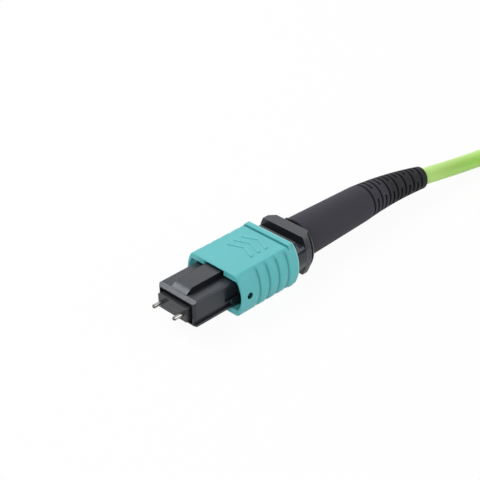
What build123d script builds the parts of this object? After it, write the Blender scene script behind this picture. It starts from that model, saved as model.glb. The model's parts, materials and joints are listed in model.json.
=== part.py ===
from build123d import *
import math
import os

# A multi-fibre push-on connector on the end of a round cable, all sizes in millimetres.
# The origin is the optical datum, midway between the guide pins on the ferrule's end face.
# +X runs from the mating end towards the cable, and +Z is the side with the key.

os.makedirs("parts", exist_ok=True)

# Clearances and overruns that several pieces share
pin_fit = 0.01
seat_fit = 0.02
slide_fit = 0.05
boot_fit = 0.1
overrun = 1.0
root_sink = 0.1

# Fibre row and ribbon
fibre_count = 12
fibre_pitch = 0.25
fibre_diameter = 0.125
fibre_length = 3.4
fibre_sides = 8
ribbon_width = 3.1
ribbon_height = 0.32
ribbon_length = 27.1

# Guide pins
pin_pitch = 4.6
pin_diameter = 0.7
pin_reach = 1.9
pin_nose = 0.2
pin_neck_diameter = 0.5
pin_neck_length = 0.6
pin_tail_length = 0.5

# Ferrule
ferrule_width = 6.4
ferrule_height = 2.5
ferrule_length = 6.0
ferrule_edge = 0.12
shoulder_side_step = 0.3
shoulder_top_step = 0.25
shoulder_length = 2.0
window_front = 2.6
window_length = 2.1
window_width = 3.4
adhesive_dip = 0.1
sleeve_pocket_length = 3.0

# Rubber grommet round the ribbon behind the ferrule
grommet_width = 3.5
grommet_height = 1.1
grommet_length = 6.2

# Pin keeper
keeper_width = 6.3
keeper_height = 2.9
keeper_length = 2.0
keeper_edge = 0.2
keeper_neck_depth = 0.6

# Ferrule spring
ferrule_spring_wire = 0.44
ferrule_spring_width = 5.15
ferrule_spring_height = 2.95
ferrule_spring_turns = 6
ferrule_spring_corners = 12
wire_sides = 6

# Plug housing
housing_front = 0.8
housing_length = 19.7
housing_side_wall = 0.6
housing_top_wall = 0.5
housing_top_round = 0.3
housing_bottom_round = 0.3
nose_side_gap = 0.1
nose_top_gap = 0.5
opening_round = 0.3
nose_recess_side_step = 0.3
nose_recess_depth = 1.5
nose_corner = 0.4
bore_top_gap = 0.35
nose_slope_rise = 0.4
nose_slope_run = 0.7
key_width = 3.4
key_rise = 0.85
key_setback = 0.62
key_length = 9.58
key_slope_rise = 0.45
key_slope_run = 1.28
side_pocket_depth = 0.38
side_groove_low = 0.6
side_groove_height = 0.95
side_groove_length = 7.8
latch_pocket_setback = 6.3
latch_pocket_length = 3.2
latch_pocket_low = 1.75
latch_pocket_height = 2.15
stop_lug_setback = 9.7
stop_lug_length = 1.2
stop_lug_ramp = 0.7
stop_lug_gap = 0.7
stop_lug_height = 1.6
hook_window_setback = 13.2
hook_window_length = 1.8
hook_window_height = 2.2

# Coupling sleeve
sleeve_front = 8.8
sleeve_length = 12.6
sleeve_height = 7.5
sleeve_width = 12.6
sleeve_bulge = 1.2
sleeve_edge_round = 1.0
sleeve_end_edge = 0.12
mouth_depth = 1.4
mouth_top_gap = 0.15
mouth_side_wall = 0.5
mouth_bulge = 0.8
mouth_edge = 0.2
sleeve_bore_height = 6.2
sleeve_side_wall = 0.6
sleeve_bore_bulge = 1.5
keyway_side_gap = 0.35
keyway_top_gap = 0.12
keyway_end_gap = 0.3
grip_setback = 3.0
grip_pitch = 2.13
grip_count = 4
grip_depth = 0.28
grip_crest_gap = 0.04
grip_spread = 5
lip_length = 1.1
lip_rise = 0.25
lip_edge = 0.08
lip_groove_width = 0.3
lip_groove_depth = 0.15
side_hole_setback = 1.66
side_hole_diameter = 1.1
spring_seat_gap = 0.1
spring_seat_length = 0.8
spring_seat_height = 3.0
spring_seat_clearance = 0.2

# Coupling springs, one each side
coupling_spring_wire = 0.2
spring_inner_gap = 0.225
spring_outer_gap = 0.175
coupling_spring_turns = 8
coupling_spring_corners = 8

# Back shell
core_length = 3.6
core_top_gap = 0.1
core_round = 0.3
core_bore_width = 3.6
core_bore_height = 1.6
collar_gap = 0.1
collar_length = 2.4
collar_height = 5.9
collar_side_gap = 0.15
collar_bulge = 1.65
slot_length = 1.1
slot_floor = 2.1
flange_length = 2.2
flange_land = 1.1
flange_height = 7.2
flange_flat_width = 8.9
flange_width = 10.8
flange_rear_flat_width = 7.0
flange_rear_width = 10.0
hook_leg_length = 4.2
hook_leg_thickness = 0.6
hook_leg_height = 2.0
hook_length = 1.6
hook_slope = 0.8
hook_rise = 0.55
post_length = 6.3
post_diameter = 4.4
post_bore_diameter = 3.3

# Aramid yarn and crimp ring
yarn_thickness = 0.14
yarn_gap = 0.7
crimp_gap = 1.0
crimp_overhang = 0.3
crimp_wall = 0.3
crimp_cone_length = 1.2
crimp_neck_length = 2.5

# Cable, with its route: straight out of the boot, down to the floor and on to the coil
cable_diameter = 3.0
cable_route = [
    (33.0, 0.0, 0.0),
    (50.45, 0.0, 0.0),
    (74.05, -2.93, -2.5),
    (84.0, -4.03, -2.05),
]
arc_run_share = 0.45

# Boot, with its slots alternating between two directions along the bend
boot_gap = 0.4
boot_front_radius = 3.68
boot_bend_radius = 3.25
boot_tail_radius = 2.05
boot_neck_gap = 1.0
boot_neck_bore_radius = 2.0
boot_tab_count = 4
boot_tab_width = 1.1
boot_tab_length = 1.2
boot_tab_height = 0.8
boot_tab_rise = 0.1
rib_slot_count = 13
rib_slot_offset = 1.0
rib_slot_pitch = 1.1
rib_slot_width = 0.46
rib_wall = 0.2
rib_core_sides = 12
rib_bridge_width = 2.0
rib_bridge_angle = 45

# Cable coil, wound long and flat beside the lead, and its ties
floor_level = -4.0
coil_centre = (92.0, -19.03)
coil_run = 20.0
coil_mean_radius = 13.5
coil_columns = 2
coil_layers = 4
coil_corner = 1.4
tie_width = 4.0
tie_thickness = 0.35
tie_play = 0.3
tie_lift = 0.1
tie_sides = {"coil_tie_near": -1, "coil_tie_far": 1}

# Sizes that follow from the ones above
cable_radius = cable_diameter / 2
shoulder_width = ferrule_width + 2 * shoulder_side_step
shoulder_height = ferrule_height + 2 * shoulder_top_step
bore_width = shoulder_width + 2 * slide_fit
bore_height = shoulder_height + 2 * bore_top_gap
ferrule_stop = ferrule_length - seat_fit
keeper_front = ferrule_length + shoulder_length
keeper_rear = keeper_front + keeper_length
slot_width = ribbon_width + 2 * slide_fit
slot_height = ribbon_height + 2 * slide_fit
grommet_bore_width = grommet_width + 4 * slide_fit
grommet_bore_height = grommet_height + 4 * slide_fit
nose_opening_width = ferrule_width + 2 * nose_side_gap
nose_opening_height = ferrule_height + 2 * nose_top_gap
nose_recess_width = nose_opening_width + 2 * nose_recess_side_step
housing_rear = housing_front + housing_length
housing_width = bore_width + 2 * housing_side_wall
housing_height = bore_height + 2 * housing_top_wall
side_face = housing_width / 2
top_face = housing_height / 2
sleeve_rear = sleeve_front + sleeve_length
sleeve_top = sleeve_height / 2
mouth_height = housing_height + 2 * mouth_top_gap
sleeve_flat_width = sleeve_width - 2 * sleeve_bulge
mouth_width = sleeve_width - 2 * mouth_side_wall
mouth_flat_width = mouth_width - 2 * mouth_bulge
sleeve_bore_width = sleeve_width - 2 * sleeve_side_wall
sleeve_bore_flat_width = sleeve_bore_width - 2 * sleeve_bore_bulge
side_space = sleeve_bore_width / 2 - side_face
stop_lug_rise = side_space - stop_lug_gap
coupling_spring_diameter = side_space - spring_inner_gap - spring_outer_gap
coupling_spring_centre = side_face + spring_inner_gap + coupling_spring_diameter / 2
core_width = bore_width - 2 * slide_fit
core_height = bore_height - 2 * core_top_gap
collar_width = sleeve_bore_width - 2 * collar_side_gap
collar_flat_width = collar_width - 2 * collar_bulge
collar_front = housing_rear + collar_gap
core_front = collar_front - core_length
slot_front = collar_front + collar_length
flange_front = slot_front + slot_length
flange_rear = flange_front + flange_length
post_rear = flange_rear + post_length
boot_front = flange_rear + boot_gap


def barrel(flat_width, height, width):
    # Adds an outline with a flat top and bottom and bulging sides to the open sketch
    flat = flat_width / 2
    half = height / 2
    side = width / 2
    with BuildLine() as outline:
        Line((-flat, half), (flat, half))
        ThreePointArc((flat, half), (side, 0), (flat, -half))
        Line((flat, -half), (-flat, -half))
        ThreePointArc((-flat, -half), (-side, 0), (-flat, half))
    make_face(outline.edges())


def helix_corners(front, rear, half_width, half_height, turns, corners, centre):
    # Corners of an oval helix along X, with the given number to a turn
    steps = turns * corners
    points = []
    for step in range(steps + 1):
        angle = 2 * math.pi * step / corners
        x = front + (rear - front) * step / steps
        points.append((x, centre + half_width * math.cos(angle), half_height * math.sin(angle)))
    return points


def bend_radii(points):
    # One radius for each inner point of a route, as large as its two runs allow
    radii = []
    for before, point, after in zip(points, points[1:], points[2:]):
        run_in = Vector(point) - Vector(before)
        run_out = Vector(after) - Vector(point)
        half_turn = math.radians(run_in.get_angle(run_out)) / 2
        shorter_run = min(run_in.length, run_out.length)
        radii.append(arc_run_share * shorter_run / math.tan(half_turn))
    return radii


# Fibre row and ribbon: bare fibres that run back into one flat ribbon
with BuildPart() as fibre_ribbon:
    with BuildSketch(Plane.YZ):
        with GridLocations(fibre_pitch, 0, fibre_count, 1):
            RegularPolygon(fibre_diameter / 2, fibre_sides)
    extrude(amount=fibre_length)
    with BuildSketch(Plane.YZ.offset(fibre_length)):
        Rectangle(ribbon_width, ribbon_height)
    extrude(amount=ribbon_length)
fibre_ribbon.part.label = "fibre_ribbon"
export_step(fibre_ribbon.part, "parts/fibre_ribbon.step")

# Ferrule, with pin bores, fibre bores, a filling window and a pocket at the rear
with BuildPart() as ferrule:
    with BuildSketch(Plane.YZ):
        Rectangle(ferrule_width, ferrule_height)
    extrude(amount=ferrule_length)
    chamfer(ferrule.edges().filter_by(Axis.X), ferrule_edge)
    with BuildSketch(Plane.YZ.offset(ferrule_length)):
        Rectangle(shoulder_width, shoulder_height)
    extrude(amount=shoulder_length)
    with BuildSketch(Plane.YZ):
        with GridLocations(pin_pitch, 0, 2, 1):
            Circle(pin_diameter / 2 + pin_fit)
    extrude(amount=keeper_front, mode=Mode.SUBTRACT)
    with BuildSketch(Plane.YZ):
        with GridLocations(fibre_pitch, 0, fibre_count, 1):
            RegularPolygon(fibre_diameter / 2 + pin_fit, fibre_sides)
    extrude(amount=window_front, mode=Mode.SUBTRACT)
    with BuildSketch(Plane.YZ.offset(window_front)):
        Rectangle(slot_width, slot_height)
    extrude(amount=keeper_front - window_front, mode=Mode.SUBTRACT)
    with BuildSketch(Plane.XY):
        with Locations((window_front + window_length / 2, 0)):
            Rectangle(window_length, window_width)
    extrude(amount=ferrule_height, mode=Mode.SUBTRACT)
    with BuildSketch(Plane.YZ.offset(keeper_front - sleeve_pocket_length)):
        Rectangle(grommet_bore_width, grommet_bore_height)
    extrude(amount=sleeve_pocket_length, mode=Mode.SUBTRACT)
ferrule.part.label = "ferrule"
export_step(ferrule.part, "parts/ferrule.step")

# Adhesive that fills the ferrule's window above the ribbon
with BuildPart() as ferrule_adhesive:
    with BuildSketch(Plane.XY.offset(slot_height / 2)):
        with Locations((window_front + window_length / 2, 0)):
            Rectangle(window_length - 2 * seat_fit, window_width - 2 * seat_fit)
    extrude(amount=(ferrule_height - slot_height) / 2 - adhesive_dip)
ferrule_adhesive.part.label = "ferrule_adhesive"
export_step(ferrule_adhesive.part, "parts/ferrule_adhesive.step")

# Rubber grommet that steadies the ribbon behind the ferrule
with BuildPart() as ribbon_grommet:
    with BuildSketch(Plane.YZ.offset(keeper_front - sleeve_pocket_length + slide_fit)):
        Rectangle(grommet_width, grommet_height)
        Rectangle(slot_width, slot_height, mode=Mode.SUBTRACT)
    extrude(amount=grommet_length)
ribbon_grommet.part.label = "ribbon_grommet"
export_step(ribbon_grommet.part, "parts/ribbon_grommet.step")

# Guide pins, turned with a conical nose and a neck that the keeper holds
pin_radius = pin_diameter / 2
neck_radius = pin_neck_diameter / 2
neck_front = keeper_front + keeper_neck_depth
neck_rear = neck_front + pin_neck_length
pin_rear = neck_rear + pin_tail_length
for pin_name, pin_side in (("guide_pin_left", 1), ("guide_pin_right", -1)):
    with BuildPart() as guide_pin:
        with BuildSketch(Plane.XY.move(Location((0, pin_side * pin_pitch / 2, 0)))):
            with BuildLine():
                Polyline(
                    (-pin_reach, 0),
                    (-pin_reach, pin_radius - pin_nose),
                    (pin_nose - pin_reach, pin_radius),
                    (neck_front, pin_radius),
                    (neck_front, neck_radius),
                    (neck_rear, neck_radius),
                    (neck_rear, pin_radius),
                    (pin_rear, pin_radius),
                    (pin_rear, 0),
                    close=True,
                )
            make_face()
        revolve(axis=Axis((0, pin_side * pin_pitch / 2, 0), (1, 0, 0)))
    guide_pin.part.label = pin_name
    export_step(guide_pin.part, f"parts/{pin_name}.step")

# Pin keeper, a clamp behind the ferrule that the pins' necks sit in
with BuildPart() as pin_keeper:
    with BuildSketch(Plane.YZ.offset(keeper_front)):
        RectangleRounded(keeper_width, keeper_height, keeper_edge)
        Rectangle(grommet_bore_width, grommet_bore_height, mode=Mode.SUBTRACT)
    extrude(amount=keeper_length)
    for bore_front, bore_rear, bore_radius in (
        (keeper_front, neck_front + slide_fit, pin_radius + pin_fit),
        (neck_front, neck_rear, neck_radius + pin_fit),
        (neck_rear - slide_fit, pin_rear + slide_fit, pin_radius + pin_fit),
    ):
        with BuildSketch(Plane.YZ.offset(bore_front)):
            with GridLocations(pin_pitch, 0, 2, 1):
                Circle(bore_radius)
        extrude(amount=bore_rear - bore_front, mode=Mode.SUBTRACT)
pin_keeper.part.label = "pin_keeper"
export_step(pin_keeper.part, "parts/pin_keeper.step")

# Ferrule spring, an oval coil between the keeper and the back shell's core
with BuildPart() as ferrule_spring:
    with BuildLine() as spring_path:
        Polyline(
            *helix_corners(
                keeper_rear + ferrule_spring_wire / 2 + slide_fit,
                core_front - ferrule_spring_wire / 2 - slide_fit,
                (ferrule_spring_width - ferrule_spring_wire) / 2,
                (ferrule_spring_height - ferrule_spring_wire) / 2,
                ferrule_spring_turns,
                ferrule_spring_corners,
                0,
            )
        )
    with BuildSketch(Plane(spring_path.line @ 0, z_dir=spring_path.line % 0)):
        RegularPolygon(ferrule_spring_wire / 2, wire_sides)
    sweep(path=spring_path.line, transition=Transition.RIGHT)
ferrule_spring.part.label = "ferrule_spring"
export_step(ferrule_spring.part, "parts/ferrule_spring.step")

# Plug housing: a long box with a sloped nose, a key, side pockets, lugs and windows
key_front = housing_front + key_setback
key_top = top_face + key_rise
lug_front = housing_front + stop_lug_setback
lug_rear = lug_front + stop_lug_length
with BuildPart() as plug_housing:
    with BuildSketch(Plane.YZ.offset(housing_front)) as housing_outline:
        Rectangle(housing_width, housing_height)
        fillet(housing_outline.vertices().group_by(Axis.Y)[-1], housing_top_round)
        fillet(housing_outline.vertices().group_by(Axis.Y)[0], housing_bottom_round)
    extrude(amount=housing_length)
    with BuildSketch(Plane.XZ):
        with BuildLine():
            Polyline(
                (housing_front, top_face - nose_slope_rise),
                (housing_front + 2 * nose_slope_run, top_face + nose_slope_rise),
                (housing_front, top_face + nose_slope_rise),
                close=True,
            )
        make_face()
        mirror(about=Plane.XZ)
    extrude(amount=housing_width, both=True, mode=Mode.SUBTRACT)
    with BuildSketch(Plane.XZ):
        with BuildLine():
            Polyline(
                (key_front, 0),
                (key_front, key_top - key_slope_rise),
                (key_front + key_slope_run, key_top),
                (key_front + key_length, key_top),
                (key_front + key_length, 0),
                close=True,
            )
        make_face()
    extrude(amount=key_width / 2, both=True)
    with BuildSketch(Plane.XY):
        with BuildLine():
            Polyline(
                (lug_front, side_face - root_sink),
                (lug_front, side_face),
                (lug_front + stop_lug_ramp, side_face + stop_lug_rise),
                (lug_rear, side_face + stop_lug_rise),
                (lug_rear, side_face - root_sink),
                close=True,
            )
        make_face()
        mirror(about=Plane.XZ)
    extrude(amount=stop_lug_height / 2, both=True)
    # The nose's two upright corners are cut off
    with BuildSketch(Plane.XY):
        with BuildLine():
            Polyline(
                (housing_front - overrun, side_face - nose_corner - overrun),
                (housing_front + nose_corner + overrun, side_face + overrun),
                (housing_front - overrun, side_face + overrun),
                close=True,
            )
        make_face()
        mirror(about=Plane.XZ)
    extrude(amount=housing_height, both=True, mode=Mode.SUBTRACT)
    # The opening that the ferrule looks out of, wider at its mouth, and the bore behind it
    with BuildSketch(Plane.YZ.offset(housing_front)):
        RectangleRounded(nose_recess_width, nose_opening_height, opening_round)
    extrude(amount=nose_recess_depth, mode=Mode.SUBTRACT)
    with BuildSketch(Plane.YZ.offset(housing_front)):
        RectangleRounded(nose_opening_width, nose_opening_height, opening_round)
    extrude(amount=ferrule_stop - housing_front, mode=Mode.SUBTRACT)
    with BuildSketch(Plane.YZ.offset(ferrule_stop)):
        RectangleRounded(bore_width, bore_height, opening_round)
    extrude(amount=housing_rear - ferrule_stop, mode=Mode.SUBTRACT)
    # A groove low on each side, and above it the pocket that a latch drops into
    with BuildSketch(Plane.YZ.offset(housing_front)):
        with Locations((0, side_groove_low - top_face + side_groove_height / 2)):
            Rectangle(housing_width + overrun, side_groove_height)
            Rectangle(
                housing_width - 2 * side_pocket_depth,
                side_groove_height,
                mode=Mode.SUBTRACT,
            )
    extrude(amount=side_groove_length, mode=Mode.SUBTRACT)
    with BuildSketch(Plane.YZ.offset(housing_front + latch_pocket_setback)):
        with Locations((0, latch_pocket_low - top_face + latch_pocket_height / 2)):
            Rectangle(housing_width + overrun, latch_pocket_height)
            Rectangle(
                housing_width - 2 * side_pocket_depth,
                latch_pocket_height,
                mode=Mode.SUBTRACT,
            )
    extrude(amount=latch_pocket_length, mode=Mode.SUBTRACT)
    # Windows for the back shell's hooks
    with BuildSketch(Plane.XZ):
        with Locations((housing_front + hook_window_setback + hook_window_length / 2, 0)):
            Rectangle(hook_window_length, hook_window_height)
    extrude(amount=housing_width, both=True, mode=Mode.SUBTRACT)
plug_housing.part.label = "plug_housing"
export_step(plug_housing.part, "parts/plug_housing.step")

# Coupling sleeve: a barrel with scalloped grips, rear lips, a keyed mouth and spring seats
grip_radius = (sleeve_top**2 + sleeve_bulge**2) / (2 * sleeve_bulge)
grip_centre = sleeve_width / 2 - grip_radius
grip_half_angle = math.degrees(math.asin(sleeve_top / grip_radius)) + grip_spread
grip_crest = grip_radius + grip_crest_gap
grip_valley = grip_radius - grip_depth
grip_first = sleeve_front + grip_setback + grip_pitch / 2
grip_last = grip_first + (grip_count - 1) * grip_pitch
grip_front = grip_first - grip_pitch / 2
grip_rear = grip_last + grip_pitch / 2
lip_front = sleeve_rear - lip_length
lip_top = sleeve_top + lip_rise
key_rear = key_front + key_length
seat_front = lug_rear + spring_seat_gap
seat_rear = seat_front + spring_seat_length
seat_inner_width = housing_width + 2 * spring_seat_clearance
mouth_rear = sleeve_front + mouth_depth
with BuildPart() as coupling_sleeve:
    with BuildSketch(Plane.YZ.offset(sleeve_front)):
        barrel(sleeve_flat_width, sleeve_height, sleeve_width)
    extrude(amount=sleeve_length)
    fillet(coupling_sleeve.edges().filter_by(Axis.X), sleeve_edge_round)
    # Scallops down both sides, each cut turned about the axis of that side's arc
    for grip_side in (1, -1):
        start_angle = math.radians(grip_half_angle)
        grip_plane = Plane(
            origin=(0, grip_side * grip_centre, 0),
            x_dir=(1, 0, 0),
            z_dir=(0, math.sin(start_angle), grip_side * math.cos(start_angle)),
        )
        with BuildSketch(grip_plane):
            with BuildLine():
                TangentArc((grip_front, grip_crest), (grip_first, grip_valley), tangent=(1, 0))
                for lobe in range(grip_count - 1):
                    lobe_front = grip_first + lobe * grip_pitch
                    ThreePointArc(
                        (lobe_front, grip_valley),
                        (lobe_front + grip_pitch / 2, grip_crest),
                        (lobe_front + grip_pitch, grip_valley),
                    )
                TangentArc((grip_rear, grip_crest), (grip_last, grip_valley), tangent=(-1, 0))
                Polyline(
                    (grip_rear, grip_crest),
                    (grip_rear, grip_crest + overrun),
                    (grip_front, grip_crest + overrun),
                    (grip_front, grip_crest),
                )
            make_face()
        revolve(
            axis=Axis((0, grip_side * grip_centre, 0), (grip_side, 0, 0)),
            revolution_arc=2 * grip_half_angle,
            mode=Mode.SUBTRACT,
        )
    # Raised lips across the top and bottom at the rear, each behind a shallow groove
    with BuildSketch(Plane.XZ):
        with BuildLine():
            Polyline(
                (lip_front, 0),
                (lip_front, lip_top - lip_edge),
                (lip_front + lip_edge, lip_top),
                (sleeve_rear - lip_edge, lip_top),
                (sleeve_rear, lip_top - lip_edge),
                (sleeve_rear, 0),
                close=True,
            )
        make_face()
        mirror(about=Plane.XZ)
    extrude(amount=sleeve_flat_width / 2, both=True)
    with BuildSketch(Plane.XZ):
        with Locations((lip_front - lip_groove_width / 2, 0)):
            Rectangle(lip_groove_width, sleeve_height + overrun)
            Rectangle(lip_groove_width, sleeve_height - 2 * lip_groove_depth, mode=Mode.SUBTRACT)
    extrude(amount=sleeve_flat_width / 2, both=True, mode=Mode.SUBTRACT)
    # The mouth, the wider bore behind it, and the seats left standing for the springs
    with BuildSketch(Plane.YZ.offset(sleeve_front)):
        barrel(mouth_flat_width, mouth_height, mouth_width)
    extrude(amount=mouth_depth, mode=Mode.SUBTRACT)
    with BuildSketch(Plane.YZ.offset(mouth_rear)):
        barrel(sleeve_bore_flat_width, sleeve_bore_height, sleeve_bore_width)
    extrude(amount=seat_front - mouth_rear, mode=Mode.SUBTRACT)
    with BuildSketch(Plane.YZ.offset(seat_front)):
        barrel(sleeve_bore_flat_width, sleeve_bore_height, sleeve_bore_width)
        Rectangle(sleeve_width, spring_seat_height, mode=Mode.SUBTRACT)
        Rectangle(seat_inner_width, spring_seat_height)
    extrude(amount=spring_seat_length, mode=Mode.SUBTRACT)
    with BuildSketch(Plane.YZ.offset(seat_rear)):
        barrel(sleeve_bore_flat_width, sleeve_bore_height, sleeve_bore_width)
    extrude(amount=sleeve_rear - seat_rear, mode=Mode.SUBTRACT)
    # The notch for the key, and a small hole through each side
    with BuildSketch(Plane.YZ.offset(sleeve_front)):
        Rectangle(
            key_width + 2 * keyway_side_gap,
            key_top + keyway_top_gap,
            align=(Align.CENTER, Align.MIN),
        )
    extrude(amount=key_rear + keyway_end_gap - sleeve_front, mode=Mode.SUBTRACT)
    with BuildSketch(Plane.XZ):
        with Locations((sleeve_front + side_hole_setback, 0)):
            Circle(side_hole_diameter / 2)
    extrude(amount=sleeve_width, both=True, mode=Mode.SUBTRACT)
    front_face = coupling_sleeve.faces().sort_by(Axis.X)[0]
    chamfer(front_face.inner_wires()[0].edges(), mouth_edge)
    front_face = coupling_sleeve.faces().sort_by(Axis.X)[0]
    chamfer(front_face.outer_wire().edges(), sleeve_end_edge)
coupling_sleeve.part.label = "coupling_sleeve"
export_step(coupling_sleeve.part, "parts/coupling_sleeve.step")

# Coupling springs, one each side between the sleeve's seat and the back shell's collar
for spring_name, spring_side in (("coupling_spring_left", 1), ("coupling_spring_right", -1)):
    with BuildPart() as coupling_spring:
        with BuildLine() as spring_path:
            Polyline(
                *helix_corners(
                    seat_rear + coupling_spring_wire / 2 + seat_fit,
                    collar_front - coupling_spring_wire / 2 - seat_fit,
                    (coupling_spring_diameter - coupling_spring_wire) / 2,
                    (coupling_spring_diameter - coupling_spring_wire) / 2,
                    coupling_spring_turns,
                    coupling_spring_corners,
                    spring_side * coupling_spring_centre,
                )
            )
        with BuildSketch(Plane(spring_path.line @ 0, z_dir=spring_path.line % 0)):
            RegularPolygon(coupling_spring_wire / 2, wire_sides)
        sweep(path=spring_path.line, transition=Transition.RIGHT)
    coupling_spring.part.label = spring_name
    export_step(coupling_spring.part, f"parts/{spring_name}.step")

# Back shell: a core with two hooked legs, a collar, a slotted neck, a flange and a post
leg_front = core_front - hook_leg_length
leg_outer = core_width / 2
leg_inner = leg_outer - hook_leg_thickness
hook_front = housing_front + hook_window_setback + (hook_window_length - hook_length) / 2
hook_rear = hook_front + hook_length
with BuildPart() as back_shell:
    with BuildSketch(Plane.YZ.offset(core_front)):
        RectangleRounded(core_width, core_height, core_round)
    extrude(amount=core_length)
    with BuildSketch(Plane.XY):
        with BuildLine():
            Polyline(
                (leg_front, leg_inner),
                (leg_front, leg_outer),
                (hook_front, leg_outer),
                (hook_front + hook_slope, leg_outer + hook_rise),
                (hook_rear, leg_outer + hook_rise),
                (hook_rear, leg_outer),
                (core_front + core_round, leg_outer),
                (core_front + core_round, leg_inner),
                close=True,
            )
        make_face()
        mirror(about=Plane.XZ)
    extrude(amount=hook_leg_height / 2, both=True)
    with BuildSketch(Plane.YZ.offset(collar_front)):
        barrel(collar_flat_width, collar_height, collar_width)
    extrude(amount=collar_length)
    with BuildSketch(Plane.YZ.offset(slot_front)):
        barrel(collar_flat_width, collar_height, collar_width)
        with GridLocations(0, 2 * slot_floor + collar_height, 1, 2):
            Rectangle(collar_width, collar_height, mode=Mode.SUBTRACT)
    extrude(amount=slot_length)
    with BuildSketch(Plane.YZ.offset(flange_front)):
        barrel(flange_flat_width, flange_height, flange_width)
    extrude(amount=flange_land)
    with BuildSketch(Plane.YZ.offset(flange_front + flange_land)):
        barrel(flange_flat_width, flange_height, flange_width)
    with BuildSketch(Plane.YZ.offset(flange_rear)):
        barrel(flange_rear_flat_width, flange_height, flange_rear_width)
    loft()
    with BuildSketch(Plane.YZ.offset(flange_rear)):
        Circle(post_diameter / 2)
    extrude(amount=post_length)
    with BuildSketch(Plane.YZ.offset(core_front)):
        SlotOverall(core_bore_width, core_bore_height)
    extrude(amount=core_length, mode=Mode.SUBTRACT)
    with BuildSketch(Plane.YZ.offset(collar_front)):
        Circle(post_bore_diameter / 2)
    extrude(amount=post_rear - collar_front, mode=Mode.SUBTRACT)
back_shell.part.label = "back_shell"
export_step(back_shell.part, "parts/back_shell.step")

# Aramid yarn, laid over the post
yarn_inner = post_diameter / 2 + seat_fit
yarn_outer = yarn_inner + yarn_thickness
yarn_front = flange_rear + yarn_gap
with BuildPart() as aramid_yarn:
    with BuildSketch(Plane.YZ.offset(yarn_front)):
        Circle(yarn_outer)
        Circle(yarn_inner, mode=Mode.SUBTRACT)
    extrude(amount=post_rear - yarn_front)
aramid_yarn.part.label = "aramid_yarn"
export_step(aramid_yarn.part, "parts/aramid_yarn.step")

# Crimp ring, wide over the yarn and necked down over the cable's jacket
crimp_inner = yarn_outer + seat_fit
crimp_neck_inner = cable_radius + slide_fit
crimp_front = flange_rear + crimp_gap
crimp_cone_front = post_rear + crimp_overhang
crimp_cone_rear = crimp_cone_front + crimp_cone_length
crimp_rear = crimp_cone_rear + crimp_neck_length
with BuildPart() as crimp_ring:
    with BuildSketch(Plane.XY):
        with BuildLine():
            Polyline(
                (crimp_front, crimp_inner),
                (crimp_front, crimp_inner + crimp_wall),
                (crimp_cone_front, crimp_inner + crimp_wall),
                (crimp_cone_rear, crimp_neck_inner + crimp_wall),
                (crimp_rear, crimp_neck_inner + crimp_wall),
                (crimp_rear, crimp_neck_inner),
                (crimp_cone_rear, crimp_neck_inner),
                (crimp_cone_front, crimp_inner),
                close=True,
            )
        make_face()
    revolve(axis=Axis.X)
crimp_ring.part.label = "crimp_ring"
export_step(crimp_ring.part, "parts/crimp_ring.step")

# Cable, a tube of straight runs joined by arcs as far as the coil
cable_radii = bend_radii(cable_route)
print("cable bend radii:", [round(radius, 1) for radius in cable_radii])
with BuildPart() as cable:
    with BuildLine() as cable_path:
        FilletPolyline(*cable_route, radius=cable_radii)
    with BuildSketch(Plane(cable_path.line @ 0, z_dir=cable_path.line % 0)):
        Circle(cable_radius)
    sweep(path=cable_path.line)
cable_length = cable_path.wire().length
volume_ratio = cable.part.volume / (math.pi * cable_radius**2 * cable_length)
print("cable length:", round(cable_length, 2), "volume ratio:", round(volume_ratio, 4))
cable.part.label = "cable"
export_step(cable.part, "parts/cable.step")

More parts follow.
